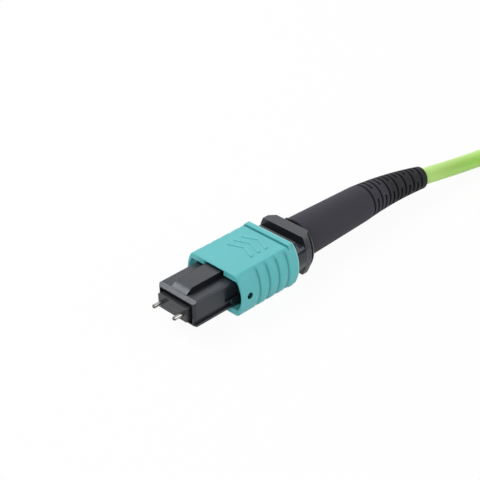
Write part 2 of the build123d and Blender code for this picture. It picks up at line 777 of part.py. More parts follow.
# Boot: a straight taper over the crimp, then ribs that follow the cable's first bend
bend_point = Vector(cable_route[1])
lead_run = bend_point - Vector(cable_route[0])
exit_run = Vector(cable_route[2]) - bend_point
bend_reach = arc_run_share * lead_run.length
bend_start = bend_point - lead_run.normalized() * bend_reach
bend_end = bend_point + exit_run.normalized() * bend_reach
boot_bore_rear = crimp_cone_rear + boot_fit
boot_neck_rear = crimp_rear + boot_neck_gap
cable_bore_radius = cable_radius + boot_fit
tab_radius = boot_front_radius + boot_tab_rise - boot_tab_height / 2
with BuildPart() as boot:
    with BuildSketch(Plane.XY):
        with BuildLine():
            Polyline(
                (boot_front, 0),
                (boot_front, boot_front_radius),
                (bend_start.X, boot_bend_radius),
                (bend_start.X, 0),
                close=True,
            )
        make_face()
    revolve(axis=Axis.X)
    with BuildLine() as bend_path:
        TangentArc(bend_start, bend_end, tangent=(1, 0, 0))
    with BuildSketch(Plane(bend_path.line @ 0, z_dir=bend_path.line % 0)):
        Circle(boot_bend_radius)
    with BuildSketch(Plane(bend_path.line @ 1, z_dir=bend_path.line % 1)):
        Circle(boot_tail_radius)
    sweep(path=bend_path.line, multisection=True)
    # Slots across the bend, in turn on one diagonal and on the other
    for rib in range(rib_slot_count):
        rib_share = (rib_slot_offset + rib * rib_slot_pitch) / bend_path.wire().length
        rib_plane = Plane(
            origin=bend_path.line @ rib_share,
            x_dir=(0, 1, 0),
            z_dir=bend_path.line % rib_share,
        )
        with BuildSketch(rib_plane):
            Circle(boot_front_radius)
            RegularPolygon(
                cable_bore_radius + rib_wall,
                rib_core_sides,
                major_radius=False,
                mode=Mode.SUBTRACT,
            )
            Rectangle(
                2 * boot_front_radius,
                rib_bridge_width,
                rotation=rib_bridge_angle if rib % 2 == 0 else -rib_bridge_angle,
                mode=Mode.SUBTRACT,
            )
        extrude(amount=rib_slot_width / 2, both=True, mode=Mode.SUBTRACT)
    # Small tabs that bridge the gap to the back shell
    with BuildSketch(Plane.YZ.offset(flange_rear + slide_fit)):
        with PolarLocations(tab_radius, boot_tab_count, start_angle=rib_bridge_angle):
            Rectangle(boot_tab_height, boot_tab_width)
    extrude(amount=boot_tab_length)
    # The bores for the crimp ring, its neck and the cable
    with BuildSketch(Plane.YZ.offset(flange_rear)):
        Circle(crimp_inner + crimp_wall + boot_fit)
    extrude(amount=boot_bore_rear - flange_rear, mode=Mode.SUBTRACT)
    with BuildSketch(Plane.YZ.offset(boot_bore_rear)):
        Circle(boot_neck_bore_radius)
    extrude(amount=boot_neck_rear - boot_bore_rear, mode=Mode.SUBTRACT)
    with BuildLine() as bore_path:
        Line((boot_neck_rear, 0, 0), bend_start)
        TangentArc(bend_start, bend_end, tangent=(1, 0, 0))
        bore_end = bend_end + exit_run.normalized() * overrun
        Line(bend_end, bore_end)
    with BuildSketch(Plane.YZ.offset(boot_neck_rear)):
        Circle(cable_bore_radius)
    sweep(path=bore_path.line, mode=Mode.SUBTRACT)
boot.part.label = "boot"
export_step(boot.part, "parts/boot.step")

# Cable coil, one long ring with the outer shape of the wound turns
coil_width = coil_columns * cable_diameter
coil_height = coil_layers * cable_diameter
coil_bottom = floor_level + tie_thickness + tie_lift
coil_middle = coil_bottom + coil_height / 2
coil_x, coil_y = coil_centre
with BuildPart() as cable_coil:
    with BuildSketch(Plane.XY.offset(coil_bottom)):
        with Locations(coil_centre):
            SlotCenterToCenter(coil_run, 2 * coil_mean_radius + coil_width)
            SlotCenterToCenter(coil_run, 2 * coil_mean_radius - coil_width, mode=Mode.SUBTRACT)
    extrude(amount=coil_height)
    coil_rims = cable_coil.edges().group_by(Axis.Z)
    chamfer(coil_rims[0] + coil_rims[-1], coil_corner)
cable_coil.part.label = "cable_coil"
export_step(cable_coil.part, "parts/cable_coil.step")

# Ties round the coil's two straight sides
for tie_name, tie_side in tie_sides.items():
    with BuildPart() as coil_tie:
        with BuildSketch(Plane.YZ.offset(coil_x)):
            with Locations((coil_y + tie_side * coil_mean_radius, coil_middle)):
                tie_outline = Rectangle(
                    coil_width + 2 * (tie_play + tie_thickness),
                    coil_height + 2 * (tie_lift + tie_thickness),
                )
                chamfer(tie_outline.vertices(), coil_corner)
                offset(amount=-tie_thickness, mode=Mode.SUBTRACT)
        extrude(amount=tie_width / 2, both=True)
    coil_tie.part.label = tie_name
    export_step(coil_tie.part, f"parts/{tie_name}.step")
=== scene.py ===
import json
import math

import bmesh
import bpy
from mathutils import Matrix, Vector


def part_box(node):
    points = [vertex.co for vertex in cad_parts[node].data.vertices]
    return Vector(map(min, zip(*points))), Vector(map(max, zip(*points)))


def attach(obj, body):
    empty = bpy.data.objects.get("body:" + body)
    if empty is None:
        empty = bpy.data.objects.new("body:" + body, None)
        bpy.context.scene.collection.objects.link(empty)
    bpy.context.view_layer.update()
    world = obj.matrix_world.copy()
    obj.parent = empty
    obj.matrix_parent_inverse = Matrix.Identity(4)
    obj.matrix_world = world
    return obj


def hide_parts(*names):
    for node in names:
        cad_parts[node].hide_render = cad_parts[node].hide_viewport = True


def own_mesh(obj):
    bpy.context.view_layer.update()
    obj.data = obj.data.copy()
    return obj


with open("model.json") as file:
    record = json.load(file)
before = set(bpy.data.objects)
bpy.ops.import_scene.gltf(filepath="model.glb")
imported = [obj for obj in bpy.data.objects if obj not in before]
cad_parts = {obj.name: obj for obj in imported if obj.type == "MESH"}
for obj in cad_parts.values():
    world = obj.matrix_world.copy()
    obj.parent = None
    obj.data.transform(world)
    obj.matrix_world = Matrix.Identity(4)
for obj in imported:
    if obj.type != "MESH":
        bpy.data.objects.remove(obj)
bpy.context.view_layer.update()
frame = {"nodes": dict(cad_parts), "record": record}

bl_info = {
    "name": "Multi-fibre connector",
    "version": (1, 0, 0),
    "blender": (4, 5, 0),
    "location": "3D View > Sidebar > Connector",
    "description": "Dresses a multi-fibre push-on connector and its coiled cable",
    "category": "Object",
}

MM = 0.001
FLOOR_Z = -4.0 * MM

# The cable's route in millimetres: straight out of the boot, down to the floor and on to the coil
CABLE_ROUTE = [
    (33.0, 0.0, 0.0),
    (42.6, 0.0, 0.0),
    (50.45, 0.0, 0.0),
    (74.05, -2.93, -2.5),
    (84.0, -4.03, -2.05),
    (99.6, -4.03, -2.05),
]
# The coil in millimetres: its middle, half its straight runs, its inner turn's radius and height, and
# how far apart its turns lie
COIL_CENTRE = (92.0, -19.03)
COIL_HALF_RUN = 10.0
COIL_INNER = 12.0
COIL_FLOOR = -2.05
CABLE_PITCH = 3.0
# The points in a full turn's bends, and the two on each run: how far in from its ends they are, and
# how far through the step between the bends
BEND_POINTS = 16
RUN_INSET = 2.4
RUN_SHARE = 0.35
# Column and layer of each turn. In degrees: how long before each full turn the cable crosses to the
# next place, how long the crossing takes, and where the coil ends
TURN_PLACES = [(1, 0), (0, 0), (0, 1), (1, 1), (1, 2), (0, 2), (0, 3), (1, 3)]
TURN_LEADS = [30, 50, 70, 90, 110, 130, 150]
CROSSING = 60
COIL_END = 2710
# The straps round the coil in millimetres, and the cuts across each of their straight sides
STRAP_CORNER = 1.35
STRAP_DIP = 0.09
STRAP_EDGE = 0.06
STRAP_CUTS = 15

# The sleeve's grips and the painted shade in their grooves, in millimetres, but for the middle and reach of
# the row, counted in grooves
FIRST_GROOVE = 12.865
GRIP_PITCH = 2.13
GROOVE_SHADE = 0.3
GRIP_SIDE = 4.75
GRIP_TOP = 3.44
GRIP_FADE = 0.4
GRIP_ROW_MIDDLE = 1.5
GRIP_ROW_REACH = 1.8
# The sleeve's rear lip and its side holes, with the painted shade in the lip's groove and the holes and the
# painted highlight on the rear rim, in millimetres
LIP_GROOVE = 20.15
LIP_GROOVE_REACH = 0.16
LIP_FRONT = 20.2
LIP_FOOT = 3.85
LIP_WIDTH_SHARE = 0.95
LIP_RIM = 21.3
LIP_RIM_REACH = 0.09
SLEEVE_TOP = 3.4
SIDE_HOLE = (10.46, 0, 0)
SIDE_HOLE_SHADE = 0.56
# The pull marks on the sleeve, in millimetres
MARK_FIRST = 15.3
MARK_PITCH = 1.6
MARK_SWEEP = 1.15
MARK_ARM = 0.585
MARK_BASE = 3.74
MARK_SINK = 0.01
MARK_EDGE = 0.04
# The key on the housing and the top of the nose's slope, in millimetres
KEY_SIDE = 1.8
KEY_FOOT = 2.3
KEY_FRONT = 1.45
KEY_BROW = 2.5
NOSE_TOP = 2.33
# The groove down the flange's sides, in millimetres
FLANGE_GROOVE = 25.62
FLANGE_GROOVE_HALF = 0.3
FLANGE_GROOVE_DEPTH = 0.4
FLANGE_SIDE = 3.9
FLANGE_TOP = 3.6
FLANGE_FADE = 1.2
# The back of the boot's front edge, the height of its crown and the front of its slots, in millimetres,
# which bound the painted shade on the boot
BOOT_EDGE = 27.0
BOOT_CROWN = 2.2
SLOTS_FRONT = 47.0
SLOTS_FADE = 2.0
# Where the pins' noses begin, the depth that counts as the ferrule's end face, and how far back the
# fibres are bare, in millimetres
PIN_NOSE = -1.58
NOSE_FADE = 0.2
FERRULE_FACE = 0.02
BARE_FIBRE = 3.0
FIBRE_PITCH = 0.25

# How far each spring is pressed together when its joint is at its limit, in millimetres
SPRING_STROKES = (
    ("ferrule_spring", "ferrule_float", 1.0),
    ("coupling_spring_left", "sleeve_slide", 2.0),
    ("coupling_spring_right", "sleeve_slide", 2.0),
)

# The camera: its picture's width and its focal length in pixels, the pixel that shows its aim, and
# its sensor's width in millimetres
PICTURE = 480
FOCAL_PIXELS = 1259.876
AIM_PIXEL = (229.146, 276.08)
AIM = Vector((12, 0, 0)) * MM
SENSOR = 36
# Each lamp's place and size in metres, and its share of the key lamp's power
LAMPS = (
    ("key", (-0.03, 0.27, 0.33), 0.22, 1.0),
    ("side", (0.22, -0.34, 0.20), 0.24, 0.45),
    ("rear", (0.27, 0.25, 0.22), 0.20, 0.08),
    ("front", (-0.34, -0.12, 0.16), 0.20, 0.5),
)
LAMP_AIM = Vector((20, 0, 0)) * MM
# How far the floor reaches each way in metres, and the share of it that is plain white to the camera
FLOOR_REACH = 6.0
FLOOR_GLOW = 0.95

# Tones laid on over a stretch of a piece, and the share of a tone where it isn't the whole: painted shade
# in the sleeve's grooves and holes and on the boot, a painted highlight on the sleeve's rim, and the plain
# colours of the pins' noses and the bare fibres
GROOVE_SHADE_AQUA = (0.008, 0.21, 0.22, 1)
GROOVE_SHADE_SHARE = 0.8
LIP_GROOVE_SHADE_SHARE = 0.7
RIM_HIGHLIGHT_AQUA = (0.5, 0.88, 0.88, 1)
RIM_HIGHLIGHT_SHARE = 0.5
HOLE_SHADE_AQUA = (0.002, 0.06, 0.065, 1)
SLOTS_SHADE_SHARE = 0.67
NOSE_GREY = (0.09, 0.085, 0.08, 1)
GLASS_GREY = (0.10, 0.11, 0.12, 1)

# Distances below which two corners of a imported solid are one, and a corner is on a plane
WELD = 0.0004 * MM
ON_PLANE = 0.01 * MM
EDGE_SEGMENTS = 2


def length_setting(name, description, millimetres):
    return bpy.props.FloatProperty(
        name=name, description=description, default=millimetres * MM, unit="LENGTH", precision=5
    )


def colour_setting(name, description, default):
    return bpy.props.FloatVectorProperty(
        name=name, description=description, default=default, size=3, subtype="COLOR"
    )


def angle_setting(name, description, degrees):
    return bpy.props.FloatProperty(
        name=name, description=description, default=math.radians(degrees), subtype="ANGLE"
    )


def number_setting(name, description, default):
    return bpy.props.FloatProperty(name=name, description=description, default=default)


class PlugSizes(bpy.types.PropertyGroup):
    housing_edge: length_setting("Housing edge", "Width of the broken edges on the black mouldings", 0.09)
    sleeve_edge: length_setting("Sleeve edge", "Width of the broken edges on the coupling sleeve", 0.08)
    small_edge: length_setting("Small edge", "Width of the broken edges on the ferrule and the metal", 0.03)
    chevron_width: length_setting("Chevron width", "Width of the pull marks across the sleeve", 5.4)
    chevron_height: length_setting("Chevron height", "How far the pull marks stand above the sleeve", 0.15)
    chevron_count: bpy.props.IntProperty(
        name="Chevrons", description="Number of pull marks on each face of the sleeve", default=3
    )


class CordSizes(bpy.types.PropertyGroup):
    diameter: length_setting("Diameter", "Outside diameter of the cable's jacket", 3.0)
    length: length_setting("Length", "Length of the cable from the plug to its free end", 1000)
    tie_thickness: length_setting("Tie thickness", "Thickness of the straps round the coil", 0.33)


class Finishes(bpy.types.PropertyGroup):
    housing: colour_setting("Housing", "Black of the rigid mouldings", (0.011, 0.0125, 0.0165))
    # The paler edge black is a painted highlight on the mouldings' broken edges
    housing_edge_highlight: colour_setting(
        "Housing edge", "Paler black where the mouldings' edges are rubbed", (0.06, 0.062, 0.07)
    )
    sleeve: colour_setting("Sleeve", "Aqua of the coupling sleeve", (0.108, 0.51, 0.53))
    boot: colour_setting("Boot", "Black of the soft boot", (0.037, 0.035, 0.046))
    jacket: colour_setting("Jacket", "Lime green of the cable's jacket", (0.58, 0.86, 0.27))
    tie: colour_setting("Tie", "Black of the woven straps", (0.02, 0.02, 0.022))


class StageSettings(bpy.types.PropertyGroup):
    azimuth: angle_setting("Azimuth", "Direction of the camera round the connector", -43.325)
    elevation: angle_setting("Elevation", "Height angle of the camera", 32.114)
    roll: angle_setting("Roll", "Turn of the picture about the camera's line of sight", 1.72)
    distance: length_setting("Distance", "Distance from the camera to the plug", 198.498)
    lens: number_setting(
        "Lens", "Focal length in millimetres on a 36 mm sensor", FOCAL_PIXELS / PICTURE * SENSOR
    )
    sky: number_setting("Surround light", "Strength of the even white light round the connector", 0.28)
    key: number_setting("Key light", "Power of the large soft lamp behind and above", 1.12)


def smooth_share(value):
    share = min(max(value, 0), 1)
    return share * share * (3 - 2 * share)


def turn_place(angle):
    """The cable's bend radius and height in millimetres, so many degrees into the coil."""
    column, layer = TURN_PLACES[0]
    for turn, lead in enumerate(TURN_LEADS):
        middle = (turn + 1) * 360 - lead
        share = smooth_share((angle - middle) / CROSSING + 0.5)
        column += share * (TURN_PLACES[turn + 1][0] - TURN_PLACES[turn][0])
        layer += share * (TURN_PLACES[turn + 1][1] - TURN_PLACES[turn][1])
    return COIL_INNER + CABLE_PITCH * column, COIL_FLOOR + CABLE_PITCH * layer


def coil_points():
    """The coil's turns: bends round its two ends, joined by straight sides."""
    points = []
    step = 360 / BEND_POINTS
    reach = 2 / (1 + math.cos(math.radians(step / 2)) ** 2)
    angle = step / 2
    while angle <= COIL_END:
        turned = math.radians(90 - angle)
        end = math.copysign(COIL_HALF_RUN, math.cos(turned))
        radius, height = turn_place(angle)
        along = end + radius * reach * math.cos(turned)
        across = radius * reach * math.sin(turned)
        points.append((COIL_CENTRE[0] + along, COIL_CENTRE[1] + across, height))
        if angle % 180 > 180 - step and angle + step <= COIL_END:
            inset = math.copysign(RUN_INSET, end)
            for share, along in ((RUN_SHARE, end - inset), (1 - RUN_SHARE, inset - end)):
                radius, height = turn_place(angle + share * step)
                across = math.copysign(radius, math.sin(turned))
                points.append((COIL_CENTRE[0] + along, COIL_CENTRE[1] + across, height))
        angle += step
    return points


# Shader helpers


def feed(tree, node, inputs):
    """Fills a node's inputs, by name or number: a socket is linked and a value is set."""
    for key, value in inputs.items():
        if isinstance(value, bpy.types.NodeSocket):
            tree.links.new(value, node.inputs[key])
        else:
            node.inputs[key].default_value = value


def put(tree, kind, inputs=None, **settings):
    """A new shader node with its settings and inputs."""
    node = tree.nodes.new(kind)
    for key, value in settings.items():
        setattr(node, key, value)
    feed(tree, node, inputs or {})
    return node


def math_node(tree, operation, first, second=0.0, third=0.0, clamp=False):
    inputs = {0: first, 1: second, 2: third}
    return put(tree, "ShaderNodeMath", inputs, operation=operation, use_clamp=clamp).outputs[0]


def product(tree, *values):
    """The values multiplied together."""
    result = values[0]
    for value in values[1:]:
        result = math_node(tree, "MULTIPLY", result, value)
    return result


def share_between(tree, value, start, end):
    """Nothing at the start and one at the end, and clamped beyond them."""
    slope = 1 / (end - start)
    return math_node(tree, "MULTIPLY_ADD", value, slope, -start * slope, clamp=True)


def vector_node(tree, operation, inputs):
    return put(tree, "ShaderNodeVectorMath", inputs, operation=operation).outputs[0]


def scaled(tree, vector, scale):
    return vector_node(tree, "SCALE", {0: vector, "Scale": scale})


def noise(tree, place, scale, detail, roughness=0.5):
    inputs = {"Vector": place, "Scale": scale, "Detail": detail, "Roughness": roughness}
    return put(tree, "ShaderNodeTexNoise", inputs).outputs["Fac"]


def blend_colours(tree, share, first, second):
    """The first colour turning into the second by a share."""
    # The node has sockets for numbers and vectors too: inputs 6 and 7 and output 2 are for colours
    return put(tree, "ShaderNodeMix", {0: share, 6: first, 7: second}, data_type="RGBA").outputs[2]


def looking_ray(tree):
    """One for the camera's rays, straight or by way of gloss or glass, and nothing for other light."""
    rays = put(tree, "ShaderNodeLightPath").outputs
    mirrored = math_node(tree, "MAXIMUM", rays["Is Glossy Ray"], rays["Is Transmission Ray"])
    return math_node(tree, "MAXIMUM", rays["Is Camera Ray"], mirrored)


def rgba(colour, gain=1.0):
    return (*(min(channel * gain, 1.0) for channel in colour), 1.0)


def open_group(name, inputs, outputs):
    """A node group with its sockets, and its input and output nodes."""
    group = bpy.data.node_groups.new(name, "ShaderNodeTree")
    kinds = {"c": "NodeSocketColor", "f": "NodeSocketFloat", "v": "NodeSocketVector"}
    for socket_name, kind, value in inputs:
        socket = group.interface.new_socket(socket_name, in_out="INPUT", socket_type=kinds[kind])
        socket.default_value = value
    for socket_name, kind in outputs:
        group.interface.new_socket(socket_name, in_out="OUTPUT", socket_type=kinds[kind])
    return group, group.nodes.new("NodeGroupInput"), group.nodes.new("NodeGroupOutput")


def millimetre_place(tree):
    """The place on the piece in millimetres."""
    place = put(tree, "ShaderNodeTexCoord").outputs["Object"]
    return scaled(tree, place, 1 / MM)


def place_axes(tree):
    """The place on the piece in millimetres, one output for each axis."""
    return put(tree, "ShaderNodeSeparateXYZ", {0: millimetre_place(tree)}).outputs


def build_moulding_group():
    """Moulded plastic: fine grain, slow cloudy change of tone and gloss, and a patchy painted highlight on
    the marked edges.
    """
    group, given, out = open_group(
        "moulding",
        [
            ("Tone", "c", (0.5, 0.5, 0.5, 1)),
            ("Edge Highlight Tone", "c", (0.8, 0.8, 0.8, 1)),
            ("Grain per mm", "f", 9.0),
            ("Clouds per mm", "f", 0.35),
            ("Cloud Strength", "f", 0.12),
            ("Gloss Roughness", "f", 0.4),
            ("Roughness Change", "f", 0.1),
            ("Highlight Share", "f", 0.7),
        ],
        [("Color", "c"), ("Roughness", "f"), ("Height", "f")],
    )
    asked = given.outputs
    place = millimetre_place(group)
    grain = noise(group, place, asked["Grain per mm"], detail=3.0, roughness=0.6)
    clouds = noise(group, place, asked["Clouds per mm"], detail=2.0)
    # The marked edge faces take a paler tone in patches: a painted highlight
    highlight_patches = noise(group, place, 2.2, detail=4.0, roughness=0.7)
    mark = put(group, "ShaderNodeAttribute", attribute_name="edge_highlight").outputs["Fac"]
    patchy = math_node(group, "MULTIPLY_ADD", highlight_patches, 1.6, -0.15, clamp=True)
    edge = product(group, mark, patchy, asked["Highlight Share"])
    drift = math_node(group, "SUBTRACT", clouds, 0.5)
    gain = math_node(group, "MULTIPLY_ADD", product(group, drift, asked["Cloud Strength"]), 2.0, 1.0)
    toned = scaled(group, asked["Tone"], gain)
    rough = math_node(group, "MULTIPLY_ADD", drift, asked["Roughness Change"], asked["Gloss Roughness"])
    feed(
        group,
        out,
        {
            "Color": blend_colours(group, edge, toned, asked["Edge Highlight Tone"]),
            "Roughness": math_node(group, "MULTIPLY_ADD", edge, -0.12, rough, clamp=True),
            "Height": grain,
        },
    )


def build_metal_group():
    """Drawn or ground metal: fine scratches along one direction, and patches of duller gloss."""
    group, given, out = open_group(
        "drawn_metal",
        [
            ("Tone", "c", (0.7, 0.7, 0.7, 1)),
            ("Scratches per mm", "v", (1.0, 30.0, 30.0)),
            ("Gloss Roughness", "f", 0.25),
            ("Scratch Strength", "f", 0.12),
        ],
        [("Color", "c"), ("Roughness", "f"), ("Height", "f")],
    )
    asked = given.outputs
    place = millimetre_place(group)
    along = vector_node(group, "MULTIPLY", {0: place, 1: asked["Scratches per mm"]})
    scratch = noise(group, along, 1.0, detail=3.0, roughness=0.65)
    dull = noise(group, place, 1.7, detail=2.0)
    drift = math_node(group, "SUBTRACT", scratch, 0.5)
    gain = math_node(group, "MULTIPLY_ADD", drift, asked["Scratch Strength"], 1.0)
    rough = math_node(group, "MULTIPLY_ADD", drift, asked["Scratch Strength"], asked["Gloss Roughness"])
    feed(
        group,
        out,
        {
            "Color": scaled(group, asked["Tone"], gain),
            "Roughness": math_node(group, "MULTIPLY_ADD", dull, 0.08, rough, clamp=True),
            "Height": scratch,
        },
    )


def build_thread_group():
    """Fine threads: bands along their run and across it, as a weave or as loose yarn."""
    group, given, out = open_group(
        "threads",
        [
            ("Tone", "c", (0.1, 0.1, 0.1, 1)),
            ("Along per mm", "f", 6.0),
            ("Across per mm", "f", 6.0),
        ],
        [("Color", "c"), ("Height", "f")],
    )
    asked = given.outputs
    place = millimetre_place(group)
    axes = put(group, "ShaderNodeSeparateXYZ", {0: place}).outputs
    run = math_node(group, "ADD", axes[0], axes[2])
    fine = noise(group, place, 7.0, detail=2.0)
    jitter = math_node(group, "MULTIPLY", fine, 1.4)
    bands = []
    for axis, per_mm in ((run, "Along per mm"), (axes[1], "Across per mm")):
        phase = product(group, axis, asked[per_mm], 2 * math.pi)
        wave = math_node(group, "SINE", math_node(group, "ADD", phase, jitter))
        bands.append(math_node(group, "MULTIPLY_ADD", wave, 0.5, 0.5))
    fuzz = math_node(group, "MULTIPLY", fine, 0.3)
    height = math_node(group, "MULTIPLY_ADD", product(group, *bands), 0.8, fuzz)
    gain = math_node(group, "MULTIPLY_ADD", height, 0.9, 0.5)
    feed(group, out, {"Color": scaled(group, asked["Tone"], gain), "Height": height})


def new_material(name, colour):
    """A material with a bare Principled shader, and the tree to build on."""
    material = bpy.data.materials.new(name)
    material.use_nodes = True
    material.diffuse_color = rgba(colour)
    tree = material.node_tree
    return material, tree, tree.nodes["Principled BSDF"]


def bumped(tree, height, depth):
    """A normal bent by a height, whose full range is a depth in millimetres."""
    return put(tree, "ShaderNodeBump", {"Height": height, "Distance": depth * MM}).outputs["Normal"]


def surface_group(tree, group, inputs):
    """The outputs of a surface's node group, placed in a material with its own inputs."""
    return put(tree, "ShaderNodeGroup", inputs, node_tree=bpy.data.node_groups[group]).outputs


def tint(material, share, colour):
    """Turns what the material's base colour is so far into a colour, by a share."""
    tree = material.node_tree
    base = tree.nodes["Principled BSDF"].inputs["Base Color"]
    tree.links.new(blend_colours(tree, share, base.links[0].from_socket, colour), base)


def moulded_material(name, tone, edge_highlight, bump, surface_values, shader_values):
    material, tree, shader = new_material(name, tone)
    # The edge tone is laid on the marked broken edges as a painted highlight
    given = {"Tone": rgba(tone), "Edge Highlight Tone": rgba(edge_highlight), **surface_values}
    surface = surface_group(tree, "moulding", given)
    feed(
        tree,
        shader,
        {
            **shader_values,
            "Base Color": surface["Color"],
            "Roughness": surface["Roughness"],
            "Normal": bumped(tree, surface["Height"], bump),
        },
    )
    return material


def metal_material(name, tone, scratches, roughness, bump, strength=0.12):
    material, tree, shader = new_material(name, tone)
    given = {
        "Tone": rgba(tone),
        "Scratches per mm": scratches,
        "Gloss Roughness": roughness,
        "Scratch Strength": strength,
    }
    surface = surface_group(tree, "drawn_metal", given)
    feed(
        tree,
        shader,
        {
            "Metallic": 1.0,
            "Base Color": surface["Color"],
            "Roughness": surface["Roughness"],
            "Normal": bumped(tree, surface["Height"], bump),
        },
    )
    return material


def thread_material(name, tone, along, across, bump, roughness):
    material, tree, shader = new_material(name, tone)
    given = {"Tone": rgba(tone), "Along per mm": along, "Across per mm": across}
    surface = surface_group(tree, "threads", given)
    feed(
        tree,
        shader,
        {
            "Roughness": roughness,
            "Sheen Weight": 0.3,
            "Sheen Roughness": 0.4,
            "Base Color": surface["Color"],
            "Normal": bumped(tree, surface["Height"], bump),
        },
    )
    return material


# Mesh helpers


def merged_copy(node):
    """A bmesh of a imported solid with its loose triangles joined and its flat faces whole."""
    shape = bmesh.new()
    shape.from_mesh(frame["nodes"][node].data)
    bmesh.ops.remove_doubles(shape, verts=shape.verts, dist=WELD)
    bmesh.ops.dissolve_degenerate(shape, edges=shape.edges, dist=WELD)
    bmesh.ops.dissolve_limit(
        shape,
        angle_limit=math.radians(0.6),
        verts=shape.verts,
        edges=shape.edges,
        delimit={"NORMAL"},
    )
    return shape


def break_edges(shape, width, sharper=28):
    """Rounds each outward edge sharper than so many degrees, and marks the new faces for a painted
    highlight.
    """
    layer = shape.faces.layers.float.get("edge_highlight") or shape.faces.layers.float.new("edge_highlight")
    limit = math.radians(sharper)
    outward = [edge for edge in shape.edges if edge.is_manifold and edge.is_convex]
    edges = [edge for edge in outward if edge.calc_face_angle() > limit]
    made = bmesh.ops.bevel(
        shape,
        geom=edges,
        affect="EDGES",
        offset_type="OFFSET",
        offset=width,
        segments=EDGE_SEGMENTS,
        profile=0.5,
        clamp_overlap=True,
        material=-1,
        loop_slide=True,
    )
    for face in made["faces"]:
        face[layer] = 1.0


def shape_to_piece(shape, name, body, materials, smooth_angle=32):
    """A finished object from a bmesh, riding on a body."""
    mesh = bpy.data.meshes.new(name)
    shape.to_mesh(mesh)
    shape.free()
    mesh.shade_smooth()
    mesh.set_sharp_from_angle(angle=math.radians(smooth_angle))
    for material in materials:
        mesh.materials.append(material)
    piece = bpy.data.objects.new(name, mesh)
    bpy.context.scene.collection.objects.link(piece)
    piece.modifiers.new("flat_faces", "WEIGHTED_NORMAL").keep_sharp = True
    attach(piece, body)
    return piece


def replace_node(node, name, shape, slot, *materials):
    """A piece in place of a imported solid, on the same body."""
    piece = shape_to_piece(shape, name, body_of_node(node), materials)
    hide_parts(node)
    return piece


def body_of_node(node):
    bodies = frame["record"]["behaviour"]["bodies"]
    return next(body for body, nodes in bodies.items() if node in nodes)


def dress_node(node, name, width, slot, material):
    """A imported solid's copy with broken edges, in place of the solid."""
    shape = merged_copy(node)
    break_edges(shape, width)
    replace_node(node, name, shape, slot, material)


def paint_node(node, material):
    """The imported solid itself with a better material."""
    mesh = frame["nodes"][node].data
    mesh.materials.clear()
    mesh.materials.append(material)


class CONNECTOR_OT_stage(bpy.types.Operator):
    """Make the floor, the lamps, the surround and the camera"""

    bl_idname = "connector.stage"
    bl_label = "Stage"

    def execute(self, context):
        scene = context.scene
        settings = scene.connector_stage
        scene.view_settings.view_transform = "Standard"
        self.make_camera(scene, settings)
        self.make_floor(scene)
        self.make_surround(scene, settings)
        self.make_lamps(scene, settings)
        return {"FINISHED"}

    def make_camera(self, scene, settings):
        azimuth, elevation, roll = settings.azimuth, settings.elevation, settings.roll
        back = Vector(
            (
                math.sin(azimuth) * math.cos(elevation),
                -math.cos(azimuth) * math.cos(elevation),
                math.sin(elevation),
            )
        )
        across = Vector((math.cos(azimuth), math.sin(azimuth), 0))
        upward = back.cross(across)
        right = across * math.cos(roll) - upward * math.sin(roll)
        top = across * math.sin(roll) + upward * math.cos(roll)
        shown_right, shown_down = (pixel - PICTURE / 2 for pixel in AIM_PIXEL)
        per_pixel = settings.distance / FOCAL_PIXELS
        place = AIM + back * settings.distance
        place += top * shown_down * per_pixel - right * shown_right * per_pixel
        data = bpy.data.cameras.new("camera")
        data.lens = settings.lens
        data.sensor_width = SENSOR
        data.clip_start = 5 * MM
        camera = bpy.data.objects.new("camera", data)
        turn = Matrix((right, top, back)).transposed().to_4x4()
        camera.matrix_world = Matrix.Translation(place) @ turn
        scene.collection.objects.link(camera)
        scene.camera = camera

    def make_floor(self, scene):
        shape = bmesh.new()
        bmesh.ops.create_grid(shape, x_segments=1, y_segments=1, size=FLOOR_REACH)
        bmesh.ops.translate(shape, verts=shape.verts, vec=(0, 0, FLOOR_Z))
        mesh = bpy.data.meshes.new("floor")
        shape.to_mesh(mesh)
        shape.free()
        material = bpy.data.materials.new("floor_white")
        material.use_nodes = True
        tree = material.node_tree
        tree.nodes.remove(tree.nodes["Principled BSDF"])
        seen = looking_ray(tree)
        paper = put(tree, "ShaderNodeBsdfDiffuse", {"Color": (0.92, 0.92, 0.92, 1)}).outputs[0]
        white = put(tree, "ShaderNodeEmission", {"Color": (1, 1, 1, 1)}).outputs[0]
        share = math_node(tree, "MULTIPLY", seen, FLOOR_GLOW)
        mixed = put(tree, "ShaderNodeMixShader", {0: share, 1: paper, 2: white}).outputs[0]
        tree.links.new(mixed, tree.nodes["Material Output"].inputs["Surface"])
        mesh.materials.append(material)
        floor = bpy.data.objects.new("floor", mesh)
        scene.collection.objects.link(floor)

    def make_surround(self, scene, settings):
        world = bpy.data.worlds.new("surround")
        scene.world = world
        world.use_nodes = True
        tree = world.node_tree
        base = tree.nodes["Background"]
        base.inputs["Color"].default_value = (1, 1, 1, 1)
        seen = looking_ray(tree)
        strength = math_node(tree, "MULTIPLY_ADD", seen, 1 - settings.sky, settings.sky)
        tree.links.new(strength, base.inputs["Strength"])

    def make_lamps(self, scene, settings):
        for name, place, size, share in LAMPS:
            data = bpy.data.lights.new(name, "AREA")
            data.shape = "SQUARE"
            data.size = size
            data.energy = settings.key * share
            lamp = bpy.data.objects.new(name, data)
            turn = (LAMP_AIM - Vector(place)).to_track_quat("-Z", "Y").to_matrix().to_4x4()
            lamp.matrix_world = Matrix.Translation(place) @ turn
            scene.collection.objects.link(lamp)


